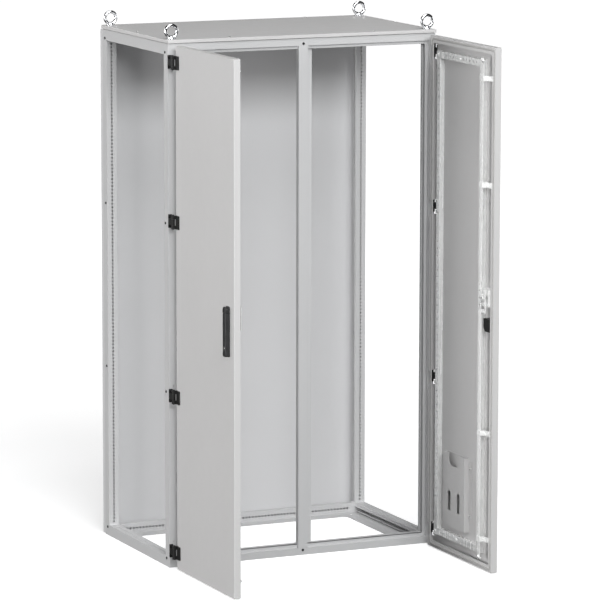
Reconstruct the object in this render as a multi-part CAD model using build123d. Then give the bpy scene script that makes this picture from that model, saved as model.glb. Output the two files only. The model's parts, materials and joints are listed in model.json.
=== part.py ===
from build123d import *
import math
import os

# Two-door floor-standing switchboard cabinet, 1000 wide, 600 deep and 1800 high, millimetres.
# Origin: centre of the frame's base, +X to the right, +Y to the rear, +Z up.  Both doors are
# open at right angles.  Each door is drawn closed, on the left, then mirrored and turned.

# ---------------------------------------------------------------- driving dimensions
WIDTH = 1000.0
DEPTH = 600.0
HEIGHT = 1800.0
SHEET = 1.5

# frame profile: an open C rolled from thick sheet, the same for posts and rails
PROFILE_SHEET = 2.0
FACE = 25.0
LIP_SETBACK = 10.0
LIP_END = 36.0
LEG = 37.0
FLANGE = 38.0
RETURN = 13.0
HOLE_PITCH = 12.5
HOLE_DIAMETER = 8.0
HOLE_LINE = 19.0
RETURN_HOLE_DIAMETER = 5.0
POST_HOLES = 137
FRONT_RAIL_HOLES = 70
SIDE_RAIL_HOLES = 38

# floor, mullion, roof and rear panel
FLOOR_OPENING = (810.0, 424.0)
FLOOR_CORNER_RADIUS = 25.0
BASE_BOLT_PATTERN = (868.0, 470.0)
BASE_BOLT_HOLE = 14.0
MULLION_WIDTH = 35.0
MULLION_DEPTH = 20.0
MULLION_FLANGE = 21.5
MULLION_RETURN = 6.0
MULLION_BLOCK = (30.0, 18.0, 21.0)
MULLION_SCREW_HEIGHT = 17.5
MULLION_SCREW_HEAD = 1.5
ROOF_HEIGHT = 13.5
ROOF_SEAM = 2.0
ROOF_OVERHANG_FRONT = 5.0
ROOF_OVERHANG_REAR = 7.0
ROOF_OVERHANG_SIDE = 1.5
ROOF_SCREW_X = 270.0
REAR_PANEL_DEPTH = 26.0
REAR_PANEL_GAP = 2.0
REAR_PANEL_EDGE = 2.0
EDGE_SCREW_INSET = 12.0

# lifting eyebolts, M12
EYE_INSET = 22.0
EYE_SHANK = 12.0
EYE_INNER = 30.0
EYE_SECTION = 11.0
EYE_COLLAR = 30.0
EYE_HEIGHT = 53.0
EYE_THREAD_LENGTH = 20.5

# doors, drawn closed: x from the frame's side, y from the frame's front, z from the floor
DOOR_EDGE = 2.0
DOOR_WIDTH = 495.0
DOOR_BOTTOM = 3.0
DOOR_TOP = 1797.0
DOOR_INNER = -2.0
DOOR_OUTER = -25.0
DOOR_RIM = 24.0
DOOR_OPEN_ANGLE = 90.0
GASKET_WIDTH = 9.0
GASKET_THICKNESS = 1.6
GASKET_INSET_HINGE = 12.5
GASKET_INSET_FREE = 3.5
GASKET_INSET_ENDS = 5.0

# hinges
HINGE_AXIS = (2.0, -36.0)
HINGE_HEIGHTS = (60.0, 600.0, 1200.0, 1740.0)
HINGE_LENGTH = 46.0
HINGE_KNUCKLE_LENGTH = 22.0
HINGE_KNUCKLE_RADIUS = 6.5
HINGE_PIN_DIAMETER = 5.0
HINGE_CLEARANCE = 0.06
HINGE_AXIAL_GAP = 0.4
HINGE_NOTCH = (13.5, 50.0)
HINGE_SCREW_X = 6.5
HINGE_SCREW_OFFSET = 16.5
SPARE_HOLE_OFFSET = 32.0
SIDE_SCREW_HEIGHTS = (30.0, 610.0, 1190.0, 1770.0)
SIDE_SCREW_INSET = 24.6

# door stiffener: four perforated square tubes
TUBE = 24.0
TUBE_DEPTH = 17.0
TUBE_WALL = 1.2
TUBE_LEFT = 46.0
TUBE_RIGHT = 397.0
TUBE_BOTTOM = 52.0
TUBE_TOP = 1748.0
TUBE_PITCH = 25.0
TUBE_HOLE = 6.0

# lock
SPINDLE_X = 449.0
SPINDLE_Z = 946.0
SPINDLE_DIAMETER = 10.0
SPINDLE_END = 18.5
HUB_RADIUS = 7.5
HUB_END = 20.0
LOCK_CASE_X = (425.0, 472.0)
LOCK_CASE_Z = (916.0, 975.0)
LOCK_CASE_INNER = 4.0
HOUSING_X = (426.0, 472.4)
HOUSING_Z = (829.0, 873.0)
HOUSING_INNER = -1.0
HOUSING_CHAMFER = (10.0, 13.0)
GEAR_MODULE = 2.0
GEAR_TEETH = 12
GEAR_PRESSURE_ANGLE = 25.0
GEAR_BACKLASH = 0.5
GEAR_ADDENDUM = 1.6
GEAR_DEDENDUM = 2.4
RACK_STRIP = 4.6
ROD_X = (424.0, 440.0)
ROD_Y = (12.0, 15.0)
ROLLER_DIAMETER = 12.0
ROLLER_WIDTH = 8.0
ROLLER_Y = 16.6
ROLLER_Z_LOW = 48.9
ROLLER_Z_HIGH = HEIGHT - ROLLER_Z_LOW
ROLLER_PIN = 5.0
ROLLER_GAP = 0.6
LUG_THICKNESS = 3.0
NECK_TOP = 1000.0
NECK_BOTTOM = 896.0
NECK_OVERLAP = 12.0
GUIDE_HEIGHTS = (112.0, 480.0, 1330.0, 1690.0)
GUIDE_WIDTH = 18.0
GUIDE_SHEET = 1.8
GUIDE_SIDE_GAP = 3.0
GUIDE_FACE_GAP = 0.6
GUIDE_FOOT = 1.6
GUIDE_END = 14.0

# handle
HANDLE_WIDTH = 25.0
HANDLE_TOP = 978.0
HANDLE_BOTTOM = 811.0
BASE_THICKNESS = 5.0
HANDLE_FRONT = -41.0
HEAD_LOW = 957.0
SLOT_HALF = 5.0
STEM_HALF = 10.0
STEM_LOW = 936.0
LIFT_AXIS = (-36.2, 966.0)
KEY_Z = 839.0
KEY_DIAMETER = 12.0

# document pocket on the right door
POCKET_X = (118.0, 282.0)
POCKET_Z = (100.0, 360.0)
POCKET_Y = (DOOR_OUTER + SHEET, -5.0)
POCKET_NOTCH = (78.0, 42.0)
POCKET_SLOT = (22.0, 70.0, 158.0)
POCKET_SLOT_PITCH = 70.0
POCKET_EAR = 20.0
POCKET_SCREW_HEIGHTS = (162.0, 325.0)

GEAR_RADIUS = GEAR_MODULE * GEAR_TEETH / 2
RACK_BACK = GEAR_RADIUS + GEAR_DEDENDUM + RACK_STRIP
HEAD_BACK = DOOR_OUTER - BASE_THICKNESS - 0.4
LEVER_BACK = HEAD_BACK - 0.3
HALF_WIDTH = WIDTH / 2
HALF_DEPTH = DEPTH / 2
DOOR_FREE = DOOR_EDGE + DOOR_WIDTH


# ---------------------------------------------------------------- small helpers
def box(x, y, z):
    """A box from three (low, high) pairs."""
    solid = Box(x[1] - x[0], y[1] - y[0], z[1] - z[0])
    return Pos((x[0] + x[1]) / 2, (y[0] + y[1]) / 2, (z[0] + z[1]) / 2) * solid


def rod_along(axis, centre, radius, start, end):
    """A cylinder along X, Y or Z; centre gives the two other coordinates in X, Y, Z order."""
    length = end - start
    middle = (start + end) / 2
    if axis == "X":
        return Pos(middle, centre[0], centre[1]) * Rot(0, 90, 0) * Cylinder(radius, length)
    if axis == "Y":
        return Pos(centre[0], middle, centre[1]) * Rot(90, 0, 0) * Cylinder(radius, length)
    return Pos(centre[0], centre[1], middle) * Cylinder(radius, length)


def solids_of(shape):
    return list(shape.solids())


def cut(shape, tools):
    """Cut many tools from a shape at once and give back its single solid."""
    result = solids_of(shape)[0].cut(*[solid for tool in tools for solid in solids_of(tool)])
    pieces = result if isinstance(result, (list, ShapeList)) else [result]
    return sorted([s for piece in pieces for s in piece.solids()], key=lambda s: s.volume)[-1]


def join(*shapes):
    """Fuse touching shapes into one solid."""
    first = solids_of(shapes[0])[0]
    others = [solid for shape in shapes[1:] for solid in solids_of(shape)]
    return first.fuse(*others).clean() if others else first


def polygon(points):
    return make_face(Polyline(*points, close=True))


def dome_screw(point, direction, head=9.0, height=2.4, shank=5.0, length=8.0):
    """A pan-head screw; the head's underside is at point and direction points out of the work."""
    crown = Pos(0, 0, height / 2) * Cylinder(head / 2, height)
    crown = fillet(crown.edges().sort_by(Axis.Z)[-1], height * 0.55)
    recess = Pos(0, 0, height) * (Box(head * 0.6, 1.1, 1.6) + Box(1.1, head * 0.6, 1.6))
    stem = Pos(0, 0, -length / 2) * Cylinder(shank / 2, length)
    screw = (crown - recess) + stem
    return Plane(origin=point, z_dir=direction) * screw


# ---------------------------------------------------------------- frame profile
def profile_outline():
    """Section of the frame profile: a runs along the lipped face, b along the plain leg."""
    t = PROFILE_SHEET
    return [(0, 0), (FACE, 0), (FACE, LIP_SETBACK - t), (LIP_END, LIP_SETBACK - t),
            (LIP_END, LIP_SETBACK), (FACE - t, LIP_SETBACK), (FACE - t, t), (t, t),
            (t, LEG - t), (FLANGE - t, LEG - t), (FLANGE - t, LEG - RETURN),
            (FLANGE, LEG - RETURN), (FLANGE, LEG), (0, LEG)]


def hole_positions(count, middle):
    first = middle - (count - 1) * HOLE_PITCH / 2
    return [first + i * HOLE_PITCH for i in range(count)]


def corner_post():
    """The front left post, with a solid corner at each end, in distances from the corner."""
    post = extrude(polygon(profile_outline()), HEIGHT)
    block = box((0, FLANGE), (LIP_SETBACK - PROFILE_SHEET, LEG), (0, FLANGE))
    step = box((0, FLANGE), (0, LIP_SETBACK), (0, FACE))
    low = block + step + box((0, FACE), (0, LIP_SETBACK), (0, FLANGE))
    high = Pos(0, 0, HEIGHT) * mirror(low, about=Plane.XY)
    post = join(post, low, high)
    tools = []
    return_line = LEG - RETURN / 2
    for z in hole_positions(POST_HOLES, HEIGHT / 2):
        tools.append(rod_along("Y", (HOLE_LINE, z), HOLE_DIAMETER / 2, LEG - 2 * PROFILE_SHEET, LEG + 1))
        tools.append(rod_along("X", (return_line, z), RETURN_HOLE_DIAMETER / 2, FLANGE - 3, FLANGE + 1))
    for z in SIDE_SCREW_HEIGHTS:
        tools.append(rod_along("X", (SIDE_SCREW_INSET, z), 2.6, -1, 9))
    eye = (EYE_INSET, EYE_INSET)
    tools.append(rod_along("Z", eye, EYE_SHANK / 2, HEIGHT - EYE_THREAD_LENGTH, HEIGHT + 1))
    return cut(post, tools)


def add_hinge_holes(post):
    """Fixing holes for the hinge leaves and the spare pair beside each, in a front post."""
    tools = []
    for z in HINGE_HEIGHTS:
        spare = z + math.copysign(SPARE_HOLE_OFFSET, HEIGHT / 2 - z)
        tools.append(rod_along("Y", (16.0, spare), 2.6, -1, PROFILE_SHEET + 1))
        for side in (-1, 1):
            tools.append(rod_along("Y", (HINGE_SCREW_X, z + side * HINGE_SCREW_OFFSET), 2.1, -1, 7))
    return cut(post, tools)


def to_corner(shape, right, rear):
    """Move a shape drawn at the front left corner to one of the four corners."""
    shape = Pos(-HALF_WIDTH, -HALF_DEPTH, 0) * shape
    if right:
        shape = mirror(shape, about=Plane.YZ)
    if rear:
        shape = mirror(shape, about=Plane.XZ)
    return shape


def front_rail():
    """Base rail between the front posts: lipped face in front, plain leg on the floor."""
    length = WIDTH - 2 * FLANGE
    section = Plane(origin=(FLANGE, 0, 0), x_dir=(0, 0, 1), z_dir=(1, 0, 0))
    outline = [(a, -b) for a, b in profile_outline()]
    rail = extrude(section * polygon(outline), length)
    return_line = LEG - RETURN / 2
    tools = []
    for x in hole_positions(FRONT_RAIL_HOLES, HALF_WIDTH):
        tools.append(rod_along("Y", (x, HOLE_LINE), HOLE_DIAMETER / 2, LEG - 2 * PROFILE_SHEET, LEG + 1))
        tools.append(rod_along("Z", (x, return_line), RETURN_HOLE_DIAMETER / 2, FLANGE - 3, FLANGE + 1))
    tools.append(rod_along("Y", (HALF_WIDTH, MULLION_SCREW_HEIGHT), 2.6, -1, PROFILE_SHEET + 1))
    return cut(rail, tools)


def side_rail():
    """Base rail between the left posts: plain leg outside, lipped face on the floor."""
    length = DEPTH - 2 * LEG
    section = Plane(origin=(0, LEG, 0), x_dir=(1, 0, 0), z_dir=(0, 1, 0))
    outline = [(a, -b) for a, b in profile_outline()]
    rail = extrude(section * polygon(outline), length)
    return_line = LEG - RETURN / 2
    tools = []
    for y in hole_positions(SIDE_RAIL_HOLES, HALF_DEPTH):
        tools.append(rod_along("Z", (HOLE_LINE, y), HOLE_DIAMETER / 2, LEG - 2 * PROFILE_SHEET, LEG + 1))
        tools.append(rod_along("X", (y, return_line), RETURN_HOLE_DIAMETER / 2, FLANGE - 3, FLANGE + 1))
    return cut(rail, tools)


def to_top(shape):
    return Pos(0, 0, HEIGHT) * mirror(shape, about=Plane.XY)


def floor_ring():
    """Wide floor flange round the cable opening, with the four foundation bolt holes."""
    outer = Rectangle(WIDTH - 2 * FACE, DEPTH - 2 * LEG)
    opening = RectangleRounded(*FLOOR_OPENING, FLOOR_CORNER_RADIUS)
    bolts = GridLocations(*BASE_BOLT_PATTERN, 2, 2) * Circle(BASE_BOLT_HOLE / 2)
    return extrude(outer - opening - bolts, PROFILE_SHEET)


def centre_mullion():
    """Channel between the doors with one edge flange, and the two blocks that it screws to."""
    t = PROFILE_SHEET
    half = MULLION_WIDTH / 2
    edge = half + MULLION_FLANGE
    lip_end = MULLION_DEPTH - t + MULLION_RETURN
    outline = [(-half, 0), (half, 0), (half, MULLION_DEPTH - t), (edge, MULLION_DEPTH - t),
               (edge, lip_end), (edge - t, lip_end), (edge - t, MULLION_DEPTH),
               (half - t, MULLION_DEPTH), (half - t, t), (t - half, t),
               (t - half, MULLION_DEPTH), (-half, MULLION_DEPTH)]
    channel = Pos(0, -HALF_DEPTH, FACE) * extrude(polygon(outline), HEIGHT - 2 * FACE)
    rail_clearance = LIP_SETBACK - PROFILE_SHEET
    rear = (rail_clearance - HALF_DEPTH, lip_end + 1 - HALF_DEPTH)
    low = box((-edge - 1, edge + 1), rear, (FACE - 1, FLANGE))
    channel = cut(channel, [low, to_top(low)])
    block_width, block_depth, block_height = MULLION_BLOCK
    block = box((-block_width / 2, block_width / 2), (t, t + block_depth), (t, t + block_height))
    block = Pos(0, -HALF_DEPTH, 0) * block
    block = cut(block, [rod_along("Y", (0, MULLION_SCREW_HEIGHT), 2.55, -HALF_DEPTH, 12 - HALF_DEPTH)])
    return [channel, block, to_top(block)]


# ---------------------------------------------------------------- sheet pans: doors, rear panel, roof
def pan(width, height, depth, rim):
    """Folded pan centred on the origin, open towards +Y, with its skin at the low Y face."""
    outer = Box(width, depth, height)
    outer = fillet(outer.edges().filter_by(Axis.Z).group_by(Axis.Y)[0], 2.0)
    hollow = Box(width - 2 * SHEET, depth - 2 * SHEET, height - 2 * SHEET)
    mouth = Pos(0, depth / 2, 0) * Box(width - 2 * rim, 4 * SHEET, height - 2 * rim)
    return outer - hollow - mouth


def ring(width, height, band, thickness):
    """A flat rectangular ring in the XZ plane, centred on the origin, growing towards +Y."""
    face = Rectangle(width, height) - Rectangle(width - 2 * band, height - 2 * band)
    return Pos(0, thickness, 0) * Rot(90, 0, 0) * extrude(face, thickness)


def rear_parts():
    width = WIDTH - 2 * REAR_PANEL_EDGE
    height = HEIGHT - 2 * REAR_PANEL_EDGE
    depth = REAR_PANEL_DEPTH - REAR_PANEL_GAP
    turned = Rot(0, 0, 180) * pan(width, height, depth, DOOR_RIM)
    panel = Pos(0, HALF_DEPTH + REAR_PANEL_GAP + depth / 2, HEIGHT / 2) * turned
    gasket = Pos(0, HALF_DEPTH, HEIGHT / 2) * ring(width - 12, height - 12, 10.0, REAR_PANEL_GAP)
    screws = []
    tools = []
    skin = HALF_DEPTH + REAR_PANEL_DEPTH
    for x in (-HALF_WIDTH + EDGE_SCREW_INSET + 4, HALF_WIDTH - EDGE_SCREW_INSET - 4):
        for z in SIDE_SCREW_HEIGHTS:
            screws.append(dome_screw((x, skin, z), (0, 1, 0), length=10.0))
            tools.append(rod_along("Y", (x, z), 2.6, skin - 5, skin + 1))
    return cut(panel, tools), gasket, screws


def roof_parts():
    width = WIDTH + 2 * ROOF_OVERHANG_SIDE
    depth = DEPTH + ROOF_OVERHANG_FRONT + ROOF_OVERHANG_REAR
    centre_y = (ROOF_OVERHANG_REAR - ROOF_OVERHANG_FRONT) / 2
    top = HEIGHT + ROOF_HEIGHT
    shell_height = ROOF_HEIGHT - ROOF_SEAM
    shell = Rot(-90, 0, 0) * pan(width, depth, shell_height, 34.0)
    shell = Pos(0, centre_y, top - shell_height / 2) * shell
    screw_spots = [(x, y) for x in (-ROOF_SCREW_X, ROOF_SCREW_X)
                   for y in (-HALF_DEPTH + EDGE_SCREW_INSET, HALF_DEPTH - EDGE_SCREW_INSET)]
    screw_spots += [(-HALF_WIDTH + EDGE_SCREW_INSET, 0), (HALF_WIDTH - EDGE_SCREW_INSET, 0)]
    tools = [rod_along("Z", spot, 2.6, top - 5, top + 1) for spot in screw_spots]
    eyes = [(sx * (HALF_WIDTH - EYE_INSET), sy * (HALF_DEPTH - EYE_INSET))
            for sx in (-1, 1) for sy in (-1, 1)]
    tools += [rod_along("Z", eye, 6.5, HEIGHT, top + 1) for eye in eyes]
    shell = cut(shell, tools)
    screws = [dome_screw((x, y, top), (0, 0, 1), length=8.0) for x, y in screw_spots]
    seam = Rectangle(WIDTH - 6, DEPTH - 6) - Rectangle(WIDTH - 24, DEPTH - 24)
    gasket = Pos(0, 0, HEIGHT) * extrude(seam, ROOF_SEAM)
    bolts = [Pos(x, y, top) * eyebolt() for x, y in eyes]
    return shell, gasket, screws, bolts


def eyebolt():
    """Lifting eyebolt standing on its collar at z = 0, its ring facing the front."""
    radius = (EYE_INNER + EYE_SECTION) / 2
    centre = EYE_HEIGHT - EYE_INNER / 2 - EYE_SECTION
    eye = Pos(0, 0, centre) * Rot(90, 0, 0) * Torus(radius, EYE_SECTION / 2)
    neck = Pos(0, 0, 4) * Cone(EYE_COLLAR / 2 - 3, 7.0, 8.0)
    collar = fillet((Pos(0, 0, 1.75) * Cylinder(EYE_COLLAR / 2, 3.5)).edges(), 0.8)
    depth = ROOF_HEIGHT + EYE_THREAD_LENGTH - 0.5
    shank = Pos(0, 0, -depth / 2) * Cylinder(EYE_SHANK / 2, depth)
    gap = Pos(0, 0, centre) * Rot(90, 0, 0) * Cylinder(EYE_INNER / 2, 40)
    return join(eye, (neck + collar + shank) - gap)


# ---------------------------------------------------------------- hinges
def knuckle(low, high):
    return rod_along("Z", HINGE_AXIS, HINGE_KNUCKLE_RADIUS, low, high)


def hinge_bore(z):
    radius = HINGE_PIN_DIAMETER / 2 + HINGE_CLEARANCE
    return rod_along("Z", HINGE_AXIS, radius, z - HINGE_LENGTH, z + HINGE_LENGTH)


def frame_hinge_leaf(z):
    """Block on the post's face with an arm forward to the middle knuckle."""
    half = HINGE_LENGTH / 2
    middle = HINGE_KNUCKLE_LENGTH / 2
    base = box((-1, 12), (-3, 0), (z - half, z + half))
    base = fillet(base.edges().filter_by(Axis.Y), 1.5)
    arm = box((-1, 7), (HINGE_AXIS[1], -2), (z - middle, z + middle))
    leaf = join(base, arm, knuckle(z - middle, z + middle))
    holes = [rod_along("Y", (HINGE_SCREW_X, z + side * HINGE_SCREW_OFFSET), 2.1, -4, 1)
             for side in (-1, 1)]
    return cut(leaf, [hinge_bore(z)] + holes)


def door_hinge_leaf(z):
    """Plate on the door's skin with a knuckle at its top and bottom."""
    half = HINGE_LENGTH / 2
    start = HINGE_KNUCKLE_LENGTH / 2 + HINGE_AXIAL_GAP
    plate = box((9.2, 32), (DOOR_OUTER - 4, DOOR_OUTER), (z - half, z + half))
    plate = fillet(plate.edges().filter_by(Axis.Y).group_by(Axis.X)[-1], 2.0)
    parts = [plate]
    for low, high in ((-half, -start), (start, half)):
        parts.append(knuckle(z + low, z + high))
        parts.append(box((HINGE_AXIS[0], 10), (HINGE_AXIS[1] + 1, DOOR_OUTER), (z + low, z + high)))
    return cut(join(*parts), [hinge_bore(z)])


def hinge_pin(z):
    half = HINGE_LENGTH / 2
    pin = rod_along("Z", HINGE_AXIS, HINGE_PIN_DIAMETER / 2, z - half - 2, z + half + 0.6)
    head = rod_along("Z", HINGE_AXIS, 4.0, z + half + 0.6, z + half + 3)
    return join(pin, fillet(head.edges().sort_by(Axis.Z)[-1], 0.8))


def hinge_screws(z):
    return [dome_screw((HINGE_SCREW_X, -3, z + side * HINGE_SCREW_OFFSET), (0, -1, 0),
                       head=7.0, height=2.0, shank=4.0, length=8.5) for side in (-1, 1)]


# ---------------------------------------------------------------- door, drawn closed on the left
def door_panel():
    width = DOOR_WIDTH
    height = DOOR_TOP - DOOR_BOTTOM
    depth = DOOR_INNER - DOOR_OUTER
    centre = (DOOR_EDGE + width / 2, (DOOR_INNER + DOOR_OUTER) / 2, (DOOR_TOP + DOOR_BOTTOM) / 2)
    shell = Pos(*centre) * pan(width, height, depth, DOOR_RIM)
    tools = []
    for z in HINGE_HEIGHTS:
        half = HINGE_NOTCH[1] / 2
        tools.append(box((0, HINGE_NOTCH[0]), (DOOR_OUTER - 1, 1), (z - half, z + half)))
    tools.append(rod_along("Y", (SPINDLE_X, SPINDLE_Z), 6.5, DOOR_OUTER - 1, DOOR_OUTER + 3))
    return cut(shell, tools)


def door_gasket():
    low_x = DOOR_EDGE + GASKET_INSET_HINGE
    high_x = DOOR_FREE - GASKET_INSET_FREE
    low_z = DOOR_BOTTOM + GASKET_INSET_ENDS
    high_z = DOOR_TOP - GASKET_INSET_ENDS
    strip = ring(high_x - low_x, high_z - low_z, GASKET_WIDTH, GASKET_THICKNESS)
    return Pos((low_x + high_x) / 2, DOOR_INNER, (low_z + high_z) / 2) * strip


def perforated_tube(length):
    """Square tube along Z from z = 0, its punched face at high Y."""
    tube = Pos(0, 0, length / 2) * Box(TUBE, TUBE_DEPTH, length)
    tube = fillet(tube.edges().filter_by(Axis.Z), 1.0)
    inside = Pos(0, 0, length / 2) * Box(TUBE - 2 * TUBE_WALL, TUBE_DEPTH - 2 * TUBE_WALL, length + 2)
    count = int((length - TUBE_PITCH) // TUBE_PITCH)
    first = (length - (count - 1) * TUBE_PITCH) / 2
    face = TUBE_DEPTH / 2
    tools = [rod_along("Y", (0, first + i * TUBE_PITCH), TUBE_HOLE / 2, face - 2, face + 1)
             for i in range(count)]
    return cut(tube - inside, tools)


def stiffener_frame():
    """Two full-height tubes with two cross tubes between them."""
    y = DOOR_OUTER + SHEET + TUBE_DEPTH / 2
    upright = perforated_tube(TUBE_TOP - TUBE_BOTTOM)
    uprights = [Pos(x, y, TUBE_BOTTOM) * upright for x in (TUBE_LEFT + TUBE / 2, TUBE_RIGHT - TUBE / 2)]
    cross = Rot(0, 90, 0) * perforated_tube(TUBE_RIGHT - TUBE_LEFT - 2 * TUBE)
    crosses = [Pos(TUBE_LEFT + TUBE, y, z) * cross for z in (TUBE_BOTTOM + TUBE / 2, TUBE_TOP - TUBE / 2)]
    return uprights + crosses


def stiffener_corners():
    """Angle plates over the tube corners and the bolts through them and the cross tubes."""
    face = DOOR_OUTER + SHEET + TUBE_DEPTH
    arm = 46.0
    plane = Plane(origin=(0, face, 0), x_dir=(1, 0, 0), z_dir=(0, -1, 0))
    pieces = []
    for low_x, step_x in ((TUBE_LEFT, 1), (TUBE_RIGHT, -1)):
        for low_z, step_z in ((TUBE_BOTTOM, 1), (TUBE_TOP, -1)):
            points = [(0, 0), (arm, 0), (arm, TUBE), (TUBE, TUBE), (TUBE, arm), (0, arm)]
            corner = polygon([(low_x + step_x * a, low_z + step_z * b) for a, b in points])
            pieces.append(extrude(plane * corner, -SHEET))
            spot = (low_x + step_x * TUBE / 2, face + SHEET, low_z + step_z * TUBE / 2)
            pieces.append(dome_screw(spot, (0, 1, 0), head=10.0, height=3.0, shank=5.0, length=1.0))
    for z in (TUBE_BOTTOM + TUBE / 2, TUBE_TOP - TUBE / 2):
        spot = ((TUBE_LEFT + TUBE_RIGHT) / 2, face, z)
        pieces.append(dome_screw(spot, (0, 1, 0), head=10.0, height=3.0, shank=5.0, length=1.0))
    return pieces


# ---------------------------------------------------------------- lock gear
def involute_point(base_radius, roll):
    """Point on the involute of a base circle, as (radius, polar angle); roll is in radians."""
    radius = base_radius * math.sqrt(1 + roll * roll)
    return radius, roll - math.atan(roll)


def pinion_blank():
    """Toothed wheel round the origin in the XY plane, a tooth pointing along +X."""
    pressure = math.radians(GEAR_PRESSURE_ANGLE)
    base = GEAR_RADIUS * math.cos(pressure)
    tip = GEAR_RADIUS + GEAR_ADDENDUM
    root = GEAR_RADIUS - GEAR_DEDENDUM
    half_tooth = math.pi / (2 * GEAR_TEETH) - GEAR_BACKLASH / (4 * GEAR_RADIUS)
    pitch_polar = math.tan(pressure) - pressure
    tip_roll = math.sqrt((tip / base) ** 2 - 1)
    flank = []
    for i in range(5):
        radius, polar = involute_point(base, tip_roll * i / 4)
        flank.append((radius, half_tooth + pitch_polar - polar))
    tooth_half_root = flank[0][1]
    upper = [(root, tooth_half_root)] + flank
    points = []
    for tooth in range(GEAR_TEETH):
        centre = tooth * 2 * math.pi / GEAR_TEETH
        for radius, angle in upper:
            points.append((radius, centre - angle))
        for radius, angle in reversed(upper):
            points.append((radius, centre + angle))
    return polygon([(r * math.cos(a), r * math.sin(a)) for r, a in points])


def pinion():
    """Driving gear on the spindle, with the round hub that retains it."""
    gear = extrude(pinion_blank(), 5.0)
    gear = Pos(SPINDLE_X, 16.0, SPINDLE_Z) * Rot(90, 0, 0) * gear
    hub = rod_along("Y", (SPINDLE_X, SPINDLE_Z), HUB_RADIUS, 16.0, HUB_END)
    hub = fillet(hub.edges().sort_by(Axis.Y)[-1], 1.0)
    bore = rod_along("Y", (SPINDLE_X, SPINDLE_Z), SPINDLE_DIAMETER / 2, 0, SPINDLE_END)
    return cut(join(gear, hub), [bore])


def rack_teeth(first, last):
    """Rack teeth along Z facing +X from the pitch line at x = 0; gaps at whole pitches."""
    pitch = math.pi * GEAR_MODULE
    slope = math.tan(math.radians(GEAR_PRESSURE_ANGLE))
    half = pitch / 4 - GEAR_BACKLASH / 4
    back = -GEAR_DEDENDUM - RACK_STRIP
    points = [(back, (first - 0.5) * pitch), (-GEAR_DEDENDUM, (first - 0.5) * pitch)]
    for i in range(first, last):
        middle = (i + 0.5) * pitch
        points.append((-GEAR_DEDENDUM, middle - half - slope * GEAR_DEDENDUM))
        points.append((GEAR_ADDENDUM, middle - half + slope * GEAR_ADDENDUM))
        points.append((GEAR_ADDENDUM, middle + half - slope * GEAR_ADDENDUM))
        points.append((-GEAR_DEDENDUM, middle + half + slope * GEAR_DEDENDUM))
    points += [(-GEAR_DEDENDUM, (last + 0.5) * pitch), (back, (last + 0.5) * pitch)]
    return polygon(points)


def rack(side, first, last):
    """Rack beside the pinion: side -1 is nearer the hinge, +1 nearer the free edge."""
    face = rack_teeth(first, last)
    solid = extrude(Plane(origin=(0, ROD_Y[0], 0), x_dir=(1, 0, 0), z_dir=(0, -1, 0)) * face,
                    ROD_Y[0] - ROD_Y[1])
    if side > 0:
        solid = mirror(solid, about=Plane.YZ)
    return Pos(SPINDLE_X + side * GEAR_RADIUS, 0, SPINDLE_Z) * solid


def roller_lug(z):
    """Bent tab at a rod's end that carries the roller's pin."""
    lug = box((ROD_X[1] - LUG_THICKNESS, ROD_X[1]), (ROD_Y[0], ROLLER_Y + 6), (z - 8, z + 8))
    lug = fillet(lug.edges().filter_by(Axis.X).group_by(Axis.Y)[-1], 5.0)
    start = ROD_X[1] - LUG_THICKNESS - 1.5
    end = ROD_X[1] + ROLLER_GAP + ROLLER_WIDTH + 0.5
    pin = rod_along("X", (ROLLER_Y, z), ROLLER_PIN / 2, start, end)
    head = rod_along("X", (ROLLER_Y, z), ROLLER_PIN / 2 + 1.2, end, end + 1.5)
    return [lug, pin, head]


def rod_upper():
    """Upper locking rod, one flat bar from the left rack to the upper roller."""
    rack_end = SPINDLE_Z + 5.5 * math.pi * GEAR_MODULE
    left = SPINDLE_X - RACK_BACK
    right = left + RACK_STRIP
    neck = box((left, right), ROD_Y, (rack_end - 1, NECK_TOP + NECK_OVERLAP))
    bar = box(ROD_X, ROD_Y, (NECK_TOP, ROLLER_Z_HIGH + 8))
    shoulder = box((ROD_X[0], right), ROD_Y, (NECK_TOP - NECK_OVERLAP, NECK_TOP + 1))
    return join(bar, shoulder, neck, rack(-1, -4, 5), *roller_lug(ROLLER_Z_HIGH))


def rod_lower():
    """Lower locking rod, cranked under the pinion from the right rack to the lower roller."""
    rack_end = SPINDLE_Z - 5.5 * math.pi * GEAR_MODULE
    right = SPINDLE_X + RACK_BACK
    neck = box((right - RACK_STRIP, right), ROD_Y, (NECK_BOTTOM, rack_end + 1))
    shoulder = box((ROD_X[0], right), ROD_Y, (NECK_BOTTOM, NECK_BOTTOM + NECK_OVERLAP))
    bar = box(ROD_X, ROD_Y, (ROLLER_Z_LOW - 8, NECK_BOTTOM + NECK_OVERLAP))
    return join(bar, shoulder, neck, rack(1, -5, 4), *roller_lug(ROLLER_Z_LOW))


def roller(z):
    start = ROD_X[1] + ROLLER_GAP
    wheel = rod_along("X", (ROLLER_Y, z), ROLLER_DIAMETER / 2, start, start + ROLLER_WIDTH)
    wheel = fillet(wheel.edges(), 1.0)
    return cut(wheel, [rod_along("X", (ROLLER_Y, z), ROLLER_PIN / 2 + 0.08, start - 5, start + 20)])


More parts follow.
